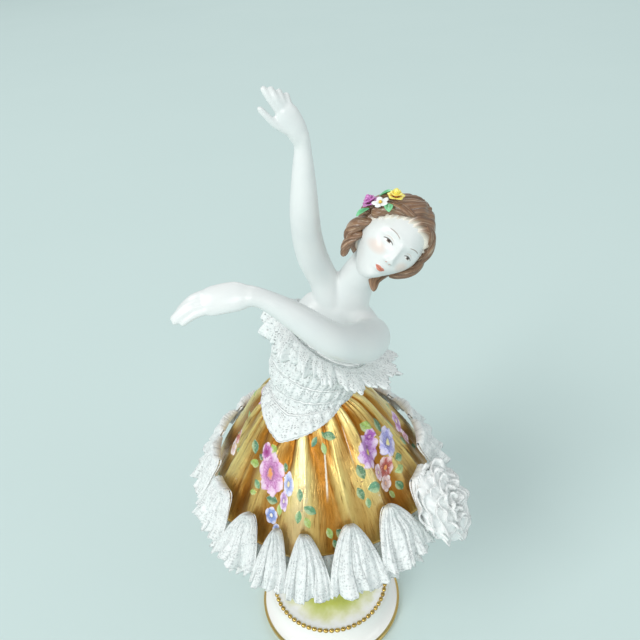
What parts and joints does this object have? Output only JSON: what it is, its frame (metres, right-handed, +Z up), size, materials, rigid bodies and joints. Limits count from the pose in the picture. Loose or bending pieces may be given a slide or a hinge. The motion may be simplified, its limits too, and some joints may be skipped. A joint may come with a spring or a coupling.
{
  "type": "dresden lace figurine",
  "caption": "Porcelain dancer on a round plinth, one arm raised and one forward, in a tiered lace bodice and a gilded bell skirt hemmed with gathered lace.",
  "frame": {"origin": "centre of the plinth's underside", "axes": "+Z up through the raised arm, the dancer faces -Y, her left side is towards +X"},
  "size_m": [0.1135, 0.1135, 0.2517],
  "materials": {
    "bisque": "smooth white bisque, faintly satin",
    "glazed_white": "clear glossy glaze",
    "gilding": "burnished gold over the glaze, painted with flower sprays",
    "lace_white": "matt porcelain lace",
    "rose_pink": "painted and glazed",
    "rose_yellow": "painted and glazed",
    "petal_white": "painted and glazed",
    "leaf_green": "painted and glazed"
  },
  "bodies": {
    "root": {"plinth": "glazed_white", "dancer": "bisque", "gilded_skirt": "gilding", "petticoat_lace": "lace_white", "lace_bodice": "lace_white", "lace_bertha": "lace_white", "hem_lace_01": "lace_white", "hem_lace_02": "lace_white", "hem_lace_03": "lace_white", "hem_lace_04": "lace_white", "hem_lace_05": "lace_white", "hem_lace_06": "lace_white", "hem_lace_07": "lace_white", "hem_lace_08": "lace_white", "hem_lace_09": "lace_white", "hem_lace_10": "lace_white", "hem_lace_11": "lace_white", "hem_lace_12": "lace_white", "hem_lace_13": "lace_white", "hem_lace_14": "lace_white", "hem_lace_15": "lace_white", "skirt_rosette": "lace_white", "hair_rose_pink": "rose_pink", "hair_rose_yellow": "rose_yellow", "hair_blossom_white": "petal_white", "hair_leaf_1": "leaf_green", "hair_leaf_2": "leaf_green", "hair_leaf_3": "leaf_green"}
  },
  "joints": []
}
